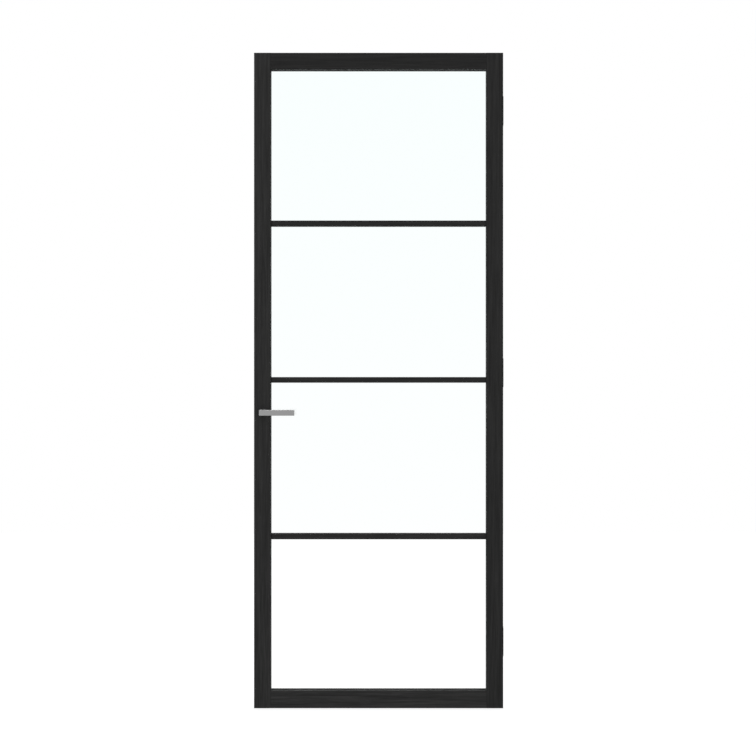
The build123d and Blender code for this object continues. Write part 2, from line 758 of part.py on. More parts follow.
def lever(grip_low, grip_high):
    """A flat grip between two corners, on a neck with the spindle's socket and a journal."""
    with BuildPart() as turned:
        with BuildSketch(upright(LEVER_BACK)):
            rectangle(grip_low[0], grip_high[0], grip_low[1], grip_high[1])
        extrude(amount=LEVER_THICKNESS)
        chamfer(turned.edges(), LEVER_EDGE_EASE)
        with BuildSketch(upright(NECK_END)):
            with Locations(SPINDLE_PLACE):
                Circle(NECK_RADIUS)
        extrude(amount=NECK_END - LEVER_BACK)
        with BuildSketch(upright(JOURNAL_END)):
            with Locations(SPINDLE_PLACE):
                Circle(JOURNAL_RADIUS)
        extrude(amount=JOURNAL_END - NECK_END)
        # The grub screw's hole is under the neck
        with BuildSketch(upright(JOURNAL_END)):
            with Locations(SPINDLE_PLACE):
                Rectangle(SOCKET_SIDE, SOCKET_SIDE)
        extrude(amount=SPINDLE_LENGTH / 2 + JOURNAL_END + NECK_GAP, mode=Mode.SUBTRACT)
        with BuildSketch(Plane.XY.offset(LEVER_AXIS_HEIGHT)):
            with Locations((LEVER_X, NECK_END - GRUB_DEPTH_IN)):
                Circle(GRUB_RADIUS + PILOT_PLAY)
        extrude(amount=-LEVER_HEIGHT / 2, mode=Mode.SUBTRACT)
    return turned.part


with BuildPart() as lever_front:
    add(
        lever(
            (LEVER_X - LEVER_HEIGHT / 2, LEVER_AXIS_HEIGHT - LEVER_HEIGHT / 2),
            (LEVER_X - LEVER_HEIGHT / 2 + LEVER_LENGTH, LEVER_AXIS_HEIGHT + LEVER_HEIGHT / 2),
        )
    )
lever_front.part.label = "lever_front"
export_step(lever_front.part, "parts/lever_front.step")

# At the back a short upright grip hides behind the stile, as nothing shows through the glass
with BuildPart() as lever_rear:
    add(
        mirror(
            lever(
                (LEVER_X - LEVER_HEIGHT / 2, LEVER_AXIS_HEIGHT - REAR_GRIP_LENGTH / 2),
                (LEVER_X + LEVER_HEIGHT / 2, LEVER_AXIS_HEIGHT + REAR_GRIP_LENGTH / 2),
            ),
            about=Plane.XZ,
            mode=Mode.PRIVATE,
        )
    )
lever_rear.part.label = "lever_rear"
export_step(lever_rear.part, "parts/lever_rear.step")

with BuildPart() as spindle:
    with BuildSketch(upright(0)):
        with Locations(SPINDLE_PLACE):
            Rectangle(SPINDLE_SIDE, SPINDLE_SIDE)
    extrude(amount=SPINDLE_LENGTH / 2, both=True)
spindle.part.label = "spindle"
export_step(spindle.part, "parts/spindle.step")

with BuildPart() as lever_grub_screws:
    for face in (-1, 1):
        with BuildSketch(Plane.XY.offset(LEVER_AXIS_HEIGHT - SPINDLE_SIDE / 2)):
            with Locations((LEVER_X, -face * (NECK_END - GRUB_DEPTH_IN))):
                Circle(GRUB_RADIUS)
        extrude(amount=-GRUB_LENGTH)
        with BuildSketch(Plane.XY.offset(LEVER_AXIS_HEIGHT - SPINDLE_SIDE / 2 - GRUB_LENGTH)):
            with Locations((LEVER_X, -face * (NECK_END - GRUB_DEPTH_IN))):
                RegularPolygon(GRUB_RADIUS / 2, 6)
        extrude(amount=GRUB_LENGTH / 2, mode=Mode.SUBTRACT)
lever_grub_screws.part.label = "lever_grub_screws"
export_step(lever_grub_screws.part, "parts/lever_grub_screws.step")

with BuildPart() as rose_front:
    with BuildSketch(upright(FRONT)):
        with Locations(SPINDLE_PLACE):
            Rectangle(ROSE_SIDE, ROSE_SIDE)
    extrude(amount=ROSE_DEPTH)
    chamfer(rose_front.faces().sort_by(Axis.Y)[0].edges(), ARRIS)
    with BuildSketch(upright(FRONT)):
        with Locations(SPINDLE_PLACE):
            Rectangle(ROSE_SIDE - 2 * ROSE_WALL, ROSE_SIDE - 2 * ROSE_WALL)
    extrude(amount=ROSE_DEPTH - ROSE_WALL, mode=Mode.SUBTRACT)
    with BuildSketch(upright(FRONT)):
        with Locations(SPINDLE_PLACE):
            Circle(JOURNAL_RADIUS + NECK_GAP)
    extrude(amount=ROSE_DEPTH, mode=Mode.SUBTRACT)
rose_front.part.label = "rose_front"
export_step(rose_front.part, "parts/rose_front.step")

with BuildPart() as rose_rear:
    add(mirror(rose_front.part, about=Plane.XZ, mode=Mode.PRIVATE))
rose_rear.part.label = "rose_rear"
export_step(rose_rear.part, "parts/rose_rear.step")

with BuildPart() as rose_base_front:
    with BuildSketch(upright(FRONT)):
        with Locations(SPINDLE_PLACE):
            Rectangle(BASE_SIDE, BASE_SIDE)
            Circle(BEARING_RADIUS, mode=Mode.SUBTRACT)
    extrude(amount=BASE_DEPTH)
    for place in ROSE_SCREW_PLACES[:2]:
        with Locations(place):
            sunk_hole(BASE_HOLE_RADIUS, BASE_SINK_RADIUS, BASE_DEPTH)
rose_base_front.part.label = "rose_base_front"
export_step(rose_base_front.part, "parts/rose_base_front.step")

with BuildPart() as rose_base_rear:
    add(mirror(rose_base_front.part, about=Plane.XZ, mode=Mode.PRIVATE))
rose_base_rear.part.label = "rose_base_rear"
export_step(rose_base_rear.part, "parts/rose_base_rear.step")

with BuildPart() as rose_screws:
    with Locations(*ROSE_SCREW_PLACES):
        add(countersunk_screw(*ROSE_SCREW))
rose_screws.part.label = "rose_screws"
export_step(rose_screws.part, "parts/rose_screws.step")
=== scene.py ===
import json
import math

import bmesh
import bpy
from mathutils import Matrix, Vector


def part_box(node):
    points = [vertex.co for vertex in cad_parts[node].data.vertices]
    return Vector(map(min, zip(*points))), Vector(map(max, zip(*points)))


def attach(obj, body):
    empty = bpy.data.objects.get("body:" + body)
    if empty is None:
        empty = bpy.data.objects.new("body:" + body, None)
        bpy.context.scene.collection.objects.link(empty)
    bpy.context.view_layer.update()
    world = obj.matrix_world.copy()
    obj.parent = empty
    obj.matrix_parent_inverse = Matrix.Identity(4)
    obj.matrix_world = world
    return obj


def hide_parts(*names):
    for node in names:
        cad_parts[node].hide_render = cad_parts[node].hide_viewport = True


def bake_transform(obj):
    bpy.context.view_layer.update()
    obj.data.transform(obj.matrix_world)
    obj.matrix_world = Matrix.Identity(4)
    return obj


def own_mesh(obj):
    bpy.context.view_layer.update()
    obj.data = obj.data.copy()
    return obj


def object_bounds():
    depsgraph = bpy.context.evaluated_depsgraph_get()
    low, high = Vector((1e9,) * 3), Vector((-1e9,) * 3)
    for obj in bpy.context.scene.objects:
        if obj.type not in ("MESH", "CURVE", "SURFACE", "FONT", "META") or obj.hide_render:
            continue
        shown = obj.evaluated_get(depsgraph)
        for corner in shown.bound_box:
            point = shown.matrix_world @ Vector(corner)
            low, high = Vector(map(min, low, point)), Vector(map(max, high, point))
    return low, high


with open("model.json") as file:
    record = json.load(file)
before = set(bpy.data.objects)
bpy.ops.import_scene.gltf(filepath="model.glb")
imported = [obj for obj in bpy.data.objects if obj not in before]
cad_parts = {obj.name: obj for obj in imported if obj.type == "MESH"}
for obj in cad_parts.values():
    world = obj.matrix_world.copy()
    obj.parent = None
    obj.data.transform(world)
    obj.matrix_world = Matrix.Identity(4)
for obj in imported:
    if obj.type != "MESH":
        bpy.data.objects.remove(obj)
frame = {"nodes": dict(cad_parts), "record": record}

cad_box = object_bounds()

# Everything is in metres, unless a comment says otherwise

# The image is 756 by 756 pixels
IMAGE_SIDE = 756

# Where the leaf's outline lies in the photograph, in pixels from the top left corner. It is set
# a quarter of a pixel large, because the eased edges catch light and look that much narrower.
LEAF_LEFT = 254.0
LEAF_RIGHT = 503.2
LEAF_TOP = 52.75
LEAF_BOTTOM = 708.25

# The camera stands level in front of the leaf. Its sensor's width is in millimetres.
EYE_HEIGHT = 1.20
EYE_DISTANCE = 4.7
SENSOR = 36.0

# The floor lies this far under the leaf. Its far edge is behind the lowest bar in the picture.
FLOOR_GAP = 0.006
FLOOR_HALF = 5.0
FLOOR_GREY = 0.25
FLOOR_GLOW = 0.88

# How strongly the white surroundings light the leaf
WORLD_LEVEL = 0.55

# The lamps: name, place, what it aims at, side, and power in watts
LAMPS = (
    ("left", (-4.2, -3.4, 1.0), (0.0, 0.0, 1.0), 2.5, 75.0),
    ("right", (4.2, -3.4, 1.0), (0.0, 0.0, 1.0), 2.5, 60.0),
    ("top", (0.0, 0.0, 5.4), (0.0, 0.0, 1.1), 1.5, 50.0),
    ("back_left", (-4.2, 3.4, 1.4), (0.0, 0.0, 1.0), 2.5, 65.0),
    ("back_right", (4.2, 3.4, 1.4), (0.0, 0.0, 1.0), 2.5, 65.0),
)

# The screws: the axis that they lie along, shank radius, pitch, slot, and a seed for the turns
# of their recesses
SCREWS = {
    "hinge_screws": (0, 0.00175, 0.0014, "black_steel", 3),
    "forend_screws": (0, 0.00175, 0.0014, "plated_steel", 5),
    "rose_screws": (1, 0.00125, 0.0010, "plated_steel", 7),
}

# Steps round a screw, and along each turn of its thread
ROUND_STEPS = 18
STEPS_PER_THREAD = 5

# The thread's depth as a share of the shank's radius, and how steeply its crest rises
THREAD_DEPTH = 0.16
CREST_STEEPNESS = 4

# Shares of a screw's length: the plain shank, and the end that narrows to this share of its width
PLAIN_SHANK = 0.28
NARROWING_END = 0.25
TIP_WIDTH = 0.45

# Shares of the head's radius: the length of the point, and the cross recess
POINT_LENGTH = 0.8
RECESS_ARM = 0.12
RECESS_REACH = 0.56
RECESS_DEPTH = 0.60

# The recess's floor, as shares of its mouth
RECESS_FLOOR_ARM = 0.8
RECESS_FLOOR_REACH = 0.6

# The springs: thickness of the wire, and turns
SPRINGS = {
    "follower_spring": (0.0009, 8.0),
    "latch_spring": (0.0005, 15.0),
}

# Steps along each turn of a spring, and round its wire
COIL_STEPS = 20
WIRE_STEPS = 8


class Value:
    """A socket of a material's node tree. Arithmetic on values adds the nodes it needs."""

    def __init__(self, finish, socket):
        self.finish = finish
        self.socket = socket

    def _math(self, operation, first, second):
        return self.finish.node("ShaderNodeMath", {"operation": operation}, [first, second])

    def __add__(self, other):
        return self._math("ADD", self, other)

    def __radd__(self, other):
        return self._math("ADD", other, self)

    def __sub__(self, other):
        return self._math("SUBTRACT", self, other)

    def __rsub__(self, other):
        return self._math("SUBTRACT", other, self)

    def __mul__(self, other):
        return self._math("MULTIPLY", self, other)

    def __rmul__(self, other):
        return self._math("MULTIPLY", other, self)


class Finish:
    """A material: its shader's plain numbers are set on the shader, and the rest is linked."""

    def __init__(self, name, **plain):
        self.material = bpy.data.materials.new(name)
        self.material.use_nodes = True
        self.tree = self.material.node_tree
        self.shader = self.tree.nodes["Principled BSDF"]
        for socket, value in plain.items():
            self.shader.inputs[socket.replace("_", " ")].default_value = value
        self.place = self.node("ShaderNodeTexCoord", {}, [], output="Object")

    def node(self, kind, settings, inputs, output=0):
        """Adds a node. Settings are set first; inputs are values or links, by order or name."""
        made = self.tree.nodes.new(kind)
        for key, value in settings.items():
            if key == "stops":
                self._set_stops(made.color_ramp, value)
            else:
                setattr(made, key, value)
        named = inputs.items() if isinstance(inputs, dict) else enumerate(inputs)
        for key, value in named:
            self._feed(made.inputs[key], value)
        return Value(self, made.outputs[output])

    def _set_stops(self, ramp, stops):
        for index, (position, level) in enumerate(stops):
            stop = ramp.elements[index] if index < 2 else ramp.elements.new(position)
            stop.position = position
            stop.color = grey(level)

    def _feed(self, socket, value):
        if isinstance(value, Value):
            self.tree.links.new(value.socket, socket)
        else:
            socket.default_value = value

    def link(self, socket, value):
        """Feeds one of the shader's own sockets."""
        self._feed(self.shader.inputs[socket], value)

    def stretched(self, scale):
        """Object coordinates, scaled along each axis."""
        return self.node("ShaderNodeMapping", {}, {"Vector": self.place, "Scale": scale})

    def noise(self, place, scale, detail=2.0, roughness=0.5, distortion=0.0):
        """Noise between 0 and 1. Its features are about 1 / scale metres large."""
        return self.node(
            "ShaderNodeTexNoise",
            {},
            {
                "Vector": place,
                "Scale": scale,
                "Detail": detail,
                "Roughness": roughness,
                "Distortion": distortion,
            },
        )

    def ramp(self, value, low, high):
        """A value stretched so that low becomes 0 and high becomes 1."""
        return self.node("ShaderNodeValToRGB", {"stops": [(low, 0.0), (high, 1.0)]}, [value])

    def blend(self, factor, first, second):
        """A colour between two colours."""
        return self.node(
            "ShaderNodeMix",
            {"data_type": "RGBA"},
            {0: factor, 6: first, 7: second},
            output=2,
        )

    def bump(self, height, distance):
        """Feeds the shader's normal from a height between 0 and 1, which stands for a distance."""
        self.link("Normal", self.node("ShaderNodeBump", {}, {"Height": height, "Distance": distance}))


def grey(level):
    """A neutral colour."""
    return (level, level, level, 1.0)


def stained_wood(name, along, tone):
    """Black stained wood, its grain running along one axis: fibres, growth rings and pores.
    The tone says how much light the stain gives back."""
    finish = Finish(name, Specular_IOR_Level=0.16)
    scale = [1.0, 1.0, 1.0]
    scale["XYZ".index(along)] = 0.035
    grain = finish.stretched(scale)
    scale["XYZ".index(along)] = 0.012
    long_grain = finish.stretched(scale)
    fibres = finish.noise(grain, scale=620.0, detail=3.0, roughness=0.6)
    rings = finish.ramp(finish.noise(grain, scale=60.0, detail=3.0, distortion=1.4), 0.35, 0.65)
    streaks = finish.ramp(finish.noise(grain, scale=230.0, roughness=0.7), 0.42, 0.62)
    pores = finish.ramp(finish.noise(long_grain, scale=1500.0, detail=1.0), 0.36, 0.46)
    figure = fibres * 0.25 + rings * 0.3 + streaks * 0.25 + pores * 0.2
    dark = grey(0.0020 * tone)
    pale = (0.0330 * tone, 0.0328 * tone, 0.0324 * tone, 1.0)
    finish.link("Base Color", finish.blend(figure, dark, pale))
    finish.link("Roughness", 0.70 - fibres * 0.10 - rings * 0.08)
    finish.bump(fibres * 0.35 + pores * 0.65, distance=0.00014)
    return finish.material


def clear_glass(name):
    """Float glass with the faint cyan of its iron, which shows less towards the bottom of the
    leaf, and a slow waviness that bends reflections."""
    finish = Finish(name, Roughness=0.0, IOR=1.5, Transmission_Weight=1.0)
    nearly_clear = (0.995, 1.0, 0.999, 1.0)
    faint_cyan = (0.945, 0.999, 0.997, 1.0)
    height = finish.node("ShaderNodeSeparateXYZ", {}, [finish.place], output="Z")
    upward = finish.node(
        "ShaderNodeMapRange", {}, {"Value": height, "From Min": 0.3, "From Max": 2.3}
    )
    finish.link("Base Color", finish.blend(upward, nearly_clear, faint_cyan))
    finish.bump(finish.noise(finish.place, scale=2.2, detail=0.0), distance=0.00008)
    return finish.material


def black_tape(name):
    """Matt foam tape."""
    finish = Finish(name, Specular_IOR_Level=0.25)
    cells = finish.noise(finish.place, scale=1400.0)
    finish.link("Base Color", finish.blend(cells, grey(0.008), grey(0.020)))
    finish.link("Roughness", 0.8 + cells * 0.15)
    finish.bump(cells, distance=0.00015)
    return finish.material


def satin_metal(name, tone):
    """Brushed metal: hairlines along the lever, and broad soft clouds in the polish."""
    finish = Finish(name, Metallic=1.0)
    hairlines = finish.noise(finish.stretched((0.03, 1.0, 1.0)), scale=2600.0, roughness=0.7)
    clouds = finish.noise(finish.place, scale=60.0)
    finish.link("Base Color", finish.blend(hairlines, grey(tone * 0.92), grey(tone * 1.08)))
    finish.link("Roughness", 0.30 + hairlines * 0.12 + clouds * 0.06)
    finish.bump(hairlines, distance=0.00002)
    return finish.material


def black_steel(name):
    """Powder coated steel with a fine orange peel."""
    finish = Finish(name, Specular_IOR_Level=0.4)
    peel = finish.noise(finish.place, scale=900.0, detail=1.0)
    wear = finish.noise(finish.place, scale=140.0, detail=3.0)
    finish.link("Base Color", finish.blend(wear, grey(0.012), grey(0.022)))
    finish.link("Roughness", 0.42 + wear * 0.14)
    finish.bump(peel, distance=0.00004)
    return finish.material


def cloudy_metal(name, dark, light, scale):
    """Zinc plated or cast metal, with cloudy passivation."""
    finish = Finish(name, Metallic=1.0)
    clouds = finish.noise(finish.place, scale=scale, detail=3.0, distortion=0.6)
    grains = finish.noise(finish.place, scale=scale * 12.0, detail=1.0)
    finish.link("Base Color", finish.blend(clouds, dark, light))
    finish.link("Roughness", 0.30 + grains * 0.18)
    finish.bump(grains, distance=0.00002)
    return finish.material


def black_nylon(name):
    """Moulded nylon."""
    finish = Finish(name, Specular_IOR_Level=0.4)
    grains = finish.noise(finish.place, scale=1800.0, detail=1.0)
    finish.link("Base Color", finish.blend(grains, grey(0.018), grey(0.030)))
    finish.link("Roughness", 0.48 + grains * 0.12)
    finish.bump(grains, distance=0.00003)
    return finish.material


# Each board's stain is given its own tone: the top rail darkest, the bottom rail lightest
BOARDS = {
    "lock_stile": stained_wood("stained_wood_lock_stile", along="Z", tone=1.03),
    "hinge_stile": stained_wood("stained_wood_hinge_stile", along="Z", tone=0.80),
    "top_rail": stained_wood("stained_wood_top_rail", along="X", tone=0.66),
    "bottom_rail": stained_wood("stained_wood_bottom_rail", along="X", tone=1.27),
}
UPRIGHT_STRIPS = stained_wood("stained_wood_upright", along="Z", tone=0.9)
LEVEL_STRIPS = stained_wood("stained_wood_level", along="X", tone=0.85)
FINISHES = {
    "clear_glass": clear_glass("clear_glass"),
    "glazing_tape": black_tape("glazing_tape"),
    "satin_metal": satin_metal("satin_metal", tone=0.295),
    "black_steel": black_steel("black_steel"),
    "plated_steel": cloudy_metal(
        "plated_steel", dark=(0.42, 0.42, 0.40, 1.0), light=(0.56, 0.56, 0.54, 1.0), scale=90.0
    ),
    "cast_zinc": cloudy_metal("cast_zinc", dark=grey(0.34), light=grey(0.44), scale=50.0),
    "nylon": black_nylon("nylon"),
}
# The roses' satin metal is the lever's, made darker to paint the shade on their faces
SATIN_PAINTED_SHADE = satin_metal("satin_metal_painted_shade", tone=0.06)
ROSES = ("rose_front", "rose_rear")


def finish_for(node, slot):
    """The finish of a node: wood by the way its grain runs, the roses in a copy of the satin metal
    darkened as painted shade, the rest by slot.
    """
    if node in ROSES:
        return SATIN_PAINTED_SHADE
    if slot != "stained_wood":
        return FINISHES[slot]
    return BOARDS.get(node, UPRIGHT_STRIPS if node.endswith(("_left", "_right")) else LEVEL_STRIPS)


for subpart in frame["record"]["subparts"]:
    node_name = subpart["node"]
    for material_slot in frame["nodes"][node_name].material_slots:
        material_slot.material = finish_for(node_name, subpart["material_slot"])


def started_tree(name, sockets):
    """A geometry-nodes tree with named inputs, and the node that gives them."""
    tree = bpy.data.node_groups.new(name, "GeometryNodeTree")
    for socket_name, kind in sockets.items():
        tree.interface.new_socket(socket_name, in_out="INPUT", socket_type=kind)
    tree.interface.new_socket("Geometry", in_out="OUTPUT", socket_type="NodeSocketGeometry")
    return tree, tree.nodes.new("NodeGroupInput")


def finished_tree(tree, given, geometry):
    """The tree with its end: what it makes becomes real and gets its finish."""
    real = tree.nodes.new("GeometryNodeRealizeInstances")
    painted = tree.nodes.new("GeometryNodeSetMaterial")
    result = tree.nodes.new("NodeGroupOutput")
    tree.links.new(geometry, real.inputs["Geometry"])
    tree.links.new(real.outputs["Geometry"], painted.inputs["Geometry"])
    tree.links.new(given.outputs["Finish"], painted.inputs["Material"])
    tree.links.new(painted.outputs["Geometry"], result.inputs["Geometry"])
    return tree


def baked_by(tree, name, mesh, values):
    """The plain mesh that a tree makes of a mesh, as an object of its own."""
    holder = bpy.data.objects.new(f"{name}_source", mesh)
    bpy.context.scene.collection.objects.link(holder)
    modifier = holder.modifiers.new("making", "NODES")
    modifier.node_group = tree
    for item in tree.interface.items_tree:
        if item.in_out == "INPUT" and item.name in values:
            modifier[item.identifier] = values[item.name]
    graph = bpy.context.evaluated_depsgraph_get()
    baked = bpy.data.meshes.new_from_object(holder.evaluated_get(graph))
    baked.name = name
    made = bpy.data.objects.new(name, baked)
    bpy.context.scene.collection.objects.link(made)
    bpy.data.objects.remove(holder)
    return made


def ring(mesh, radius_at, height):
    """A closed ring of vertices round Z, its radius given for each turn."""
    turns = [2 * math.pi * step / ROUND_STEPS for step in range(ROUND_STEPS)]
    return [
        mesh.verts.new((radius_at(turn) * math.cos(turn), radius_at(turn) * math.sin(turn), height))
        for turn in turns
    ]


def skin(mesh, first, second):
    """Faces between two rings of as many vertices."""
    for index in range(len(first)):
        after = (index + 1) % len(first)
        mesh.faces.new((first[index], first[after], second[after], second[index]))


def cross_outline(mesh, arm, reach, height):
    """The twelve corners of a cross."""
    corners = []
    for quarter in range(4):
        cosine = math.cos(quarter * math.pi / 2)
        sine = math.sin(quarter * math.pi / 2)
        for x, y in ((reach, -arm), (reach, arm), (arm, arm)):
            corners.append(mesh.verts.new((x * cosine - y * sine, x * sine + y * cosine, height)))
    return corners


def loop_edges(mesh, corners):
    """Edges round a closed row of vertices."""
    edges = []
    for index, corner in enumerate(corners):
        after = corners[(index + 1) % len(corners)]
        edges.append(mesh.edges.get((corner, after)) or mesh.edges.new((corner, after)))
    return edges


def recessed_head(mesh, radius):
    """A head's flat face at the origin, with a cross recess in it. Gives back its rim."""
    rim = ring(mesh, lambda turn: radius, 0.0)
    arm = radius * RECESS_ARM
    reach = radius * RECESS_REACH
    depth = radius * RECESS_DEPTH
    mouth = cross_outline(mesh, arm, reach, 0.0)
    floor = cross_outline(mesh, arm * RECESS_FLOOR_ARM, reach * RECESS_FLOOR_REACH, -depth)
    bmesh.ops.bridge_loops(mesh, edges=loop_edges(mesh, rim) + loop_edges(mesh, mouth))
    skin(mesh, mouth, floor)
    mesh.faces.new(floor)
    return rim


def thread_radius(turn, height, shank_radius, pitch):
    """How far the thread's surface lies from the screw's axis, at a turn and a height."""
    core = shank_radius * (1 - THREAD_DEPTH)
    phase = (height / pitch - turn / (2 * math.pi)) % 1.0
    crest = max(0.0, 1.0 - abs(phase - 0.5) * CREST_STEEPNESS)
    return core + (shank_radius - core) * crest


def wood_screw(name, head_radius, shank_radius, length, pitch):
    """A countersunk screw, its head's flat face at the origin and its point down."""
    mesh = bmesh.new()
    rim = recessed_head(mesh, head_radius)
    last = ring(mesh, lambda turn: shank_radius, shank_radius - head_radius)
    skin(mesh, rim, last)
    plain_end = -length * PLAIN_SHANK
    point_start = -length + POINT_LENGTH * head_radius
    count = int((plain_end - point_start) / pitch * STEPS_PER_THREAD)
    for step in range(count + 1):
        height = plain_end + (point_start - plain_end) * step / count
        fullness = min(1.0, (height + length) / (length * NARROWING_END))
        width = TIP_WIDTH + (1 - TIP_WIDTH) * fullness
        now = ring(
            mesh, lambda turn: thread_radius(turn, height, shank_radius, pitch) * width, height
        )
        skin(mesh, last, now)
        last = now
    tip = mesh.verts.new((0, 0, -length))
    for index in range(ROUND_STEPS):
        mesh.faces.new((last[index], last[(index + 1) % ROUND_STEPS], tip))
    bmesh.ops.recalc_face_normals(mesh, faces=mesh.faces)
    made = bpy.data.meshes.new(name)
    mesh.to_mesh(made)
    mesh.free()
    return bpy.data.objects.new(name, made)


def setting_tree():
    """Geometry nodes that set a screw at each point, along the point's facing, its recess at a
    turn of chance, as a screwdriver leaves it."""
    tree, given = started_tree(
        "screw_setting",
        {
            "Geometry": "NodeSocketGeometry",
            "Screw": "NodeSocketObject",
            "Seed": "NodeSocketInt",
            "Finish": "NodeSocketMaterial",
        },
    )
    nodes = tree.nodes
    link = tree.links.new
    facing = nodes.new("GeometryNodeInputNamedAttribute")
    facing.data_type = "FLOAT_VECTOR"
    facing.inputs["Name"].default_value = "facing"
    align = nodes.new("FunctionNodeAlignRotationToVector")
    align.axis = "Z"
    chance = nodes.new("FunctionNodeRandomValue")
    chance.data_type = "FLOAT_VECTOR"
    chance.inputs["Min"].default_value = (0, 0, 0)
    chance.inputs["Max"].default_value = (0, 0, 2 * math.pi)
    turn = nodes.new("FunctionNodeRotateRotation")
    turn.rotation_space = "LOCAL"
    pattern = nodes.new("GeometryNodeObjectInfo")
    place = nodes.new("GeometryNodeInstanceOnPoints")
    link(facing.outputs["Attribute"], align.inputs["Vector"])
    link(given.outputs["Seed"], chance.inputs["Seed"])
    link(align.outputs["Rotation"], turn.inputs["Rotation"])
    link(chance.outputs["Value"], turn.inputs["Rotate By"])
    link(given.outputs["Screw"], pattern.inputs["Object"])
    link(given.outputs["Geometry"], place.inputs["Points"])
    link(pattern.outputs["Geometry"], place.inputs["Instance"])
    link(turn.outputs["Rotation"], place.inputs["Rotation"])
    return finished_tree(tree, given, place.outputs["Instances"])


def solids_of(node):
    """The lowest and highest corner of each separate solid of a node."""
    mesh = bmesh.new()
    mesh.from_mesh(frame["nodes"][node].data)
    bmesh.ops.remove_doubles(mesh, verts=mesh.verts, dist=1e-6)
    boxes = []
    seen = set()
    for start in mesh.verts:
        if start in seen:
            continue
        seen.add(start)
        island = [start]
        for vertex in island:
            for edge in vertex.link_edges:
                other = edge.other_vert(vertex)
                if other not in seen:
                    seen.add(other)
                    island.append(other)
        places = [vertex.co for vertex in island]
        low = Vector([min(place[axis] for place in places) for axis in range(3)])
        high = Vector([max(place[axis] for place in places) for axis in range(3)])
        boxes.append((low, high))
    mesh.free()
    return sorted(boxes, key=lambda box: tuple(box[0]))


def head_of(box, axis):
    """Where a screw's head lies and which way it faces: away from the leaf's middle."""
    low, high = box
    place = (low + high) / 2
    sign = 1 if place[axis] > 0 else -1
    place[axis] = high[axis] if sign > 0 else low[axis]
    facing = Vector((0, 0, 0))
    facing[axis] = sign
    return place, facing


def set_screws(tree, node, axis, shank_radius, pitch, slot, seed):
    """Puts detailed screws where a node has plain ones, in one mesh that replaces the node."""
    boxes = solids_of(node)
    low, high = boxes[0]
    across = next(index for index in range(3) if index != axis)
    head_radius = (high[across] - low[across]) / 2
    length = high[axis] - low[axis]
    pattern = wood_screw(f"{node}_pattern", head_radius, shank_radius, length, pitch)
    bpy.context.scene.collection.objects.link(pattern)
    heads = [head_of(box, axis) for box in boxes]
    points = bpy.data.meshes.new(f"{node}_points")
    points.from_pydata([place for place, _ in heads], [], [])
    attribute = points.attributes.new("facing", "FLOAT_VECTOR", "POINT")
    for index, (_, facing) in enumerate(heads):
        attribute.data[index].vector = facing
    values = {"Screw": pattern, "Seed": seed, "Finish": FINISHES[slot]}
    screws = baked_by(tree, f"{node}_detailed", points, values)
    bpy.data.objects.remove(pattern)
    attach(screws, "leaf")
    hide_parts(node)


screw_tree = setting_tree()
for node_name, screw_facts in SCREWS.items():
    set_screws(screw_tree, node_name, *screw_facts)


def coil_tree():
    """Geometry nodes that wind a compression spring of round wire along +X. At each end one turn
    lies closed against the next."""
    tree, given = started_tree(
        "spring_coil",
        {
            "Geometry": "NodeSocketGeometry",
            "Start": "NodeSocketVector",
            "Length": "NodeSocketFloat",
            "Radius": "NodeSocketFloat",
            "Wire": "NodeSocketFloat",
            "Turns": "NodeSocketFloat",
            "Finish": "NodeSocketMaterial",
        },
    )
    nodes = tree.nodes
    link = tree.links.new

    def feed(socket, value):
        if isinstance(value, float):
            socket.default_value = value
        else:
            link(value, socket)

    def maths(operation, first, second):
        made = nodes.new("ShaderNodeMath")
        made.operation = operation
        feed(made.inputs[0], first)
        feed(made.inputs[1], second)
        return made.outputs["Value"]

    def climbing(value, low, high, rise):
        made = nodes.new("ShaderNodeMapRange")
        feed(made.inputs["Value"], value)
        feed(made.inputs["From Min"], low)
        feed(made.inputs["From Max"], high)
        feed(made.inputs["To Max"], rise)
        return made.outputs["Result"]

    wire = given.outputs["Wire"]
    half_wire = maths("MULTIPLY", wire, 0.5)

    # A circle that is gone round several times
    circles = nodes.new("GeometryNodeCurveSpiral")
    circles.inputs["Resolution"].default_value = COIL_STEPS
    circles.inputs["Height"].default_value = 0.0
    link(given.outputs["Turns"], circles.inputs["Rotations"])
    link(given.outputs["Radius"], circles.inputs["Start Radius"])
    link(given.outputs["Radius"], circles.inputs["End Radius"])

    # It climbs by one wire over each closed turn, and by the rest of the length between them.
    # The wire's own thickness takes the third.
    along = nodes.new("GeometryNodeSplineParameter").outputs["Factor"]
    first_turn = maths("DIVIDE", 1.0, given.outputs["Turns"])
    last_turn = maths("SUBTRACT", 1.0, first_turn)
    open_length = maths("SUBTRACT", given.outputs["Length"], maths("MULTIPLY", wire, 3.0))
    closed_climb = maths(
        "ADD", climbing(along, 0.0, first_turn, wire), climbing(along, last_turn, 1.0, wire)
    )
    open_climb = climbing(along, first_turn, last_turn, open_length)
    climb = maths("ADD", maths("ADD", closed_climb, open_climb), half_wire)
    offset = nodes.new("ShaderNodeCombineXYZ")
    link(climb, offset.inputs["Z"])
    raised = nodes.new("GeometryNodeSetPosition")
    link(circles.outputs["Curve"], raised.inputs["Geometry"])
    link(offset.outputs["Vector"], raised.inputs["Offset"])

    # Round wire along it, then laid from +Z to +X and put in its place
    section = nodes.new("GeometryNodeCurvePrimitiveCircle")
    section.inputs["Resolution"].default_value = WIRE_STEPS
    link(half_wire, section.inputs["Radius"])
    body = nodes.new("GeometryNodeCurveToMesh")
    body.inputs["Fill Caps"].default_value = True
    link(raised.outputs["Geometry"], body.inputs["Curve"])
    link(section.outputs["Curve"], body.inputs["Profile Curve"])
    laid = nodes.new("GeometryNodeTransform")
    laid.inputs["Rotation"].default_value = (0, math.pi / 2, 0)
    link(body.outputs["Mesh"], laid.inputs["Geometry"])
    link(given.outputs["Start"], laid.inputs["Translation"])
    return finished_tree(tree, given, laid.outputs["Geometry"])


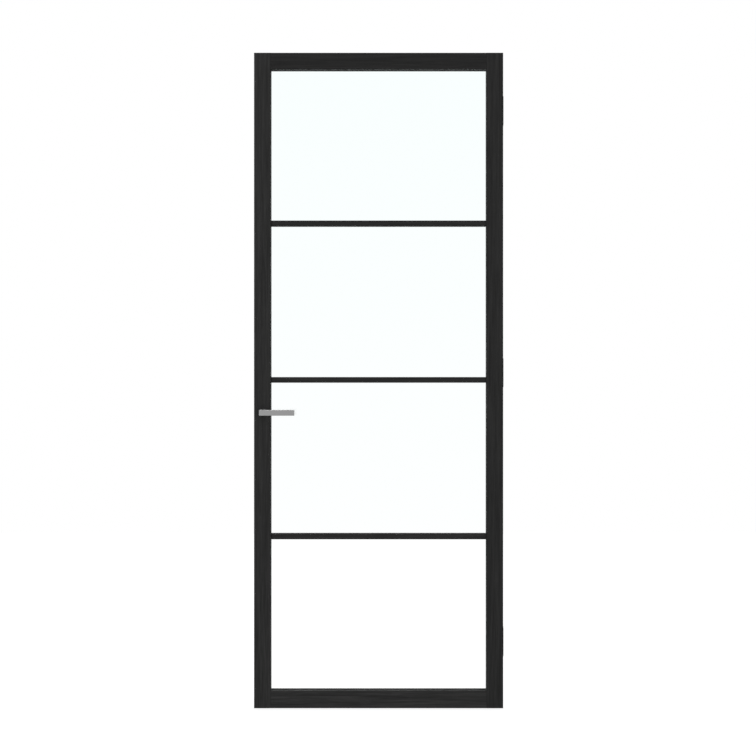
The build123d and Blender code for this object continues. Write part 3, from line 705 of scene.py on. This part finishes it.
def wind_spring(tree, node):
    """A round-wire coil that replaces a node's plain one, in the same space."""
    wire, turns = SPRINGS[node]
    low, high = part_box(node)
    middle = (low + high) / 2
    values = {
        "Start": (low.x, middle.y, middle.z),
        "Length": high.x - low.x,
        "Radius": (high.z - low.z - wire) / 2,
        "Wire": wire,
        "Turns": turns,
        "Finish": FINISHES["plated_steel"],
    }
    coil = baked_by(tree, f"{node}_coil", bpy.data.meshes.new(f"{node}_seed"), values)
    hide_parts(node)
    return coil


spring_tree = coil_tree()

# The follower's heel presses its spring together against the forend's side of the case
handle_spring = wind_spring(spring_tree, "follower_spring")
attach(handle_spring, "leaf")
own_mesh(handle_spring)

# The bolt draws its spring out from the back of the case
bolt_spring = wind_spring(spring_tree, "latch_spring")
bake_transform(bolt_spring)


def shown_ray(tree):
    """1 for rays that see the background straight, in a reflection or through glass."""
    path = tree.nodes.new("ShaderNodeLightPath")
    most = path.outputs["Is Camera Ray"]
    for name in ("Is Glossy Ray", "Is Transmission Ray"):
        larger = tree.nodes.new("ShaderNodeMath")
        larger.operation = "MAXIMUM"
        tree.links.new(most, larger.inputs[0])
        tree.links.new(path.outputs[name], larger.inputs[1])
        most = larger.outputs[0]
    return most


def white_world():
    """A white background, which lights the object at a plain level."""
    world = bpy.data.worlds.new("studio")
    world.use_nodes = True
    bpy.context.scene.world = world
    tree = world.node_tree
    background = tree.nodes["Background"]
    background.inputs["Color"].default_value = grey(1.0)
    level = tree.nodes.new("ShaderNodeMix")
    tree.links.new(shown_ray(tree), level.inputs["Factor"])
    level.inputs["A"].default_value = WORLD_LEVEL
    level.inputs["B"].default_value = 1.0
    tree.links.new(level.outputs["Result"], background.inputs["Strength"])


def pale_floor(height):
    """A pale floor that shows nearly white and keeps the object's shadow."""
    mesh = bpy.data.meshes.new("floor")
    corners = ((-1, -1), (1, -1), (1, 1), (-1, 1))
    mesh.from_pydata([(x * FLOOR_HALF, y * FLOOR_HALF, height) for x, y in corners], [], [(0, 1, 2, 3)])
    floor = bpy.data.objects.new("floor", mesh)
    bpy.context.scene.collection.objects.link(floor)
    material = bpy.data.materials.new("floor")
    material.use_nodes = True
    tree = material.node_tree
    shader = tree.nodes["Principled BSDF"]
    shader.inputs["Base Color"].default_value = grey(FLOOR_GREY)
    shader.inputs["Roughness"].default_value = 0.9
    shader.inputs["Specular IOR Level"].default_value = 0.0
    shader.inputs["Emission Color"].default_value = grey(1.0)
    glow = tree.nodes.new("ShaderNodeMath")
    glow.operation = "MULTIPLY"
    glow.inputs[1].default_value = FLOOR_GLOW
    tree.links.new(shown_ray(tree), glow.inputs[0])
    tree.links.new(glow.outputs[0], shader.inputs["Emission Strength"])
    mesh.materials.append(material)


def soft_lamp(name, place, aim, size, power):
    """A large square lamp."""
    light = bpy.data.lights.new(name, "AREA")
    light.size = size
    light.energy = power
    lamp = bpy.data.objects.new(name, light)
    lamp.location = place
    lamp.rotation_euler = (Vector(aim) - Vector(place)).to_track_quat("-Z", "Y").to_euler()
    bpy.context.scene.collection.objects.link(lamp)


def level_camera():
    """A level camera that puts the leaf's outline where the photograph has it."""
    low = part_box("lock_stile")[0]
    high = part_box("hinge_stile")[1]
    pixels_per_metre = (LEAF_BOTTOM - LEAF_TOP) / (high.z - low.z)
    focal_pixels = pixels_per_metre * EYE_DISTANCE
    lens = bpy.data.cameras.new("camera")
    lens.sensor_width = SENSOR
    lens.lens = focal_pixels * SENSOR / IMAGE_SIDE
    middle = (LEAF_LEFT + LEAF_RIGHT) / 2
    horizon = LEAF_BOTTOM - pixels_per_metre * (EYE_HEIGHT - low.z)
    lens.shift_x = (IMAGE_SIDE / 2 - middle) / IMAGE_SIDE
    lens.shift_y = (horizon - IMAGE_SIDE / 2) / IMAGE_SIDE
    camera = bpy.data.objects.new("camera", lens)
    camera.location = ((low.x + high.x) / 2, low.y - EYE_DISTANCE, EYE_HEIGHT)
    camera.rotation_euler = (math.radians(90), 0, 0)
    bpy.context.scene.collection.objects.link(camera)
    bpy.context.scene.camera = camera


white_world()
pale_floor(cad_box[0][2] - FLOOR_GAP)
for lamp_facts in LAMPS:
    soft_lamp(*lamp_facts)
level_camera()
bpy.context.scene.view_settings.view_transform = "Standard"
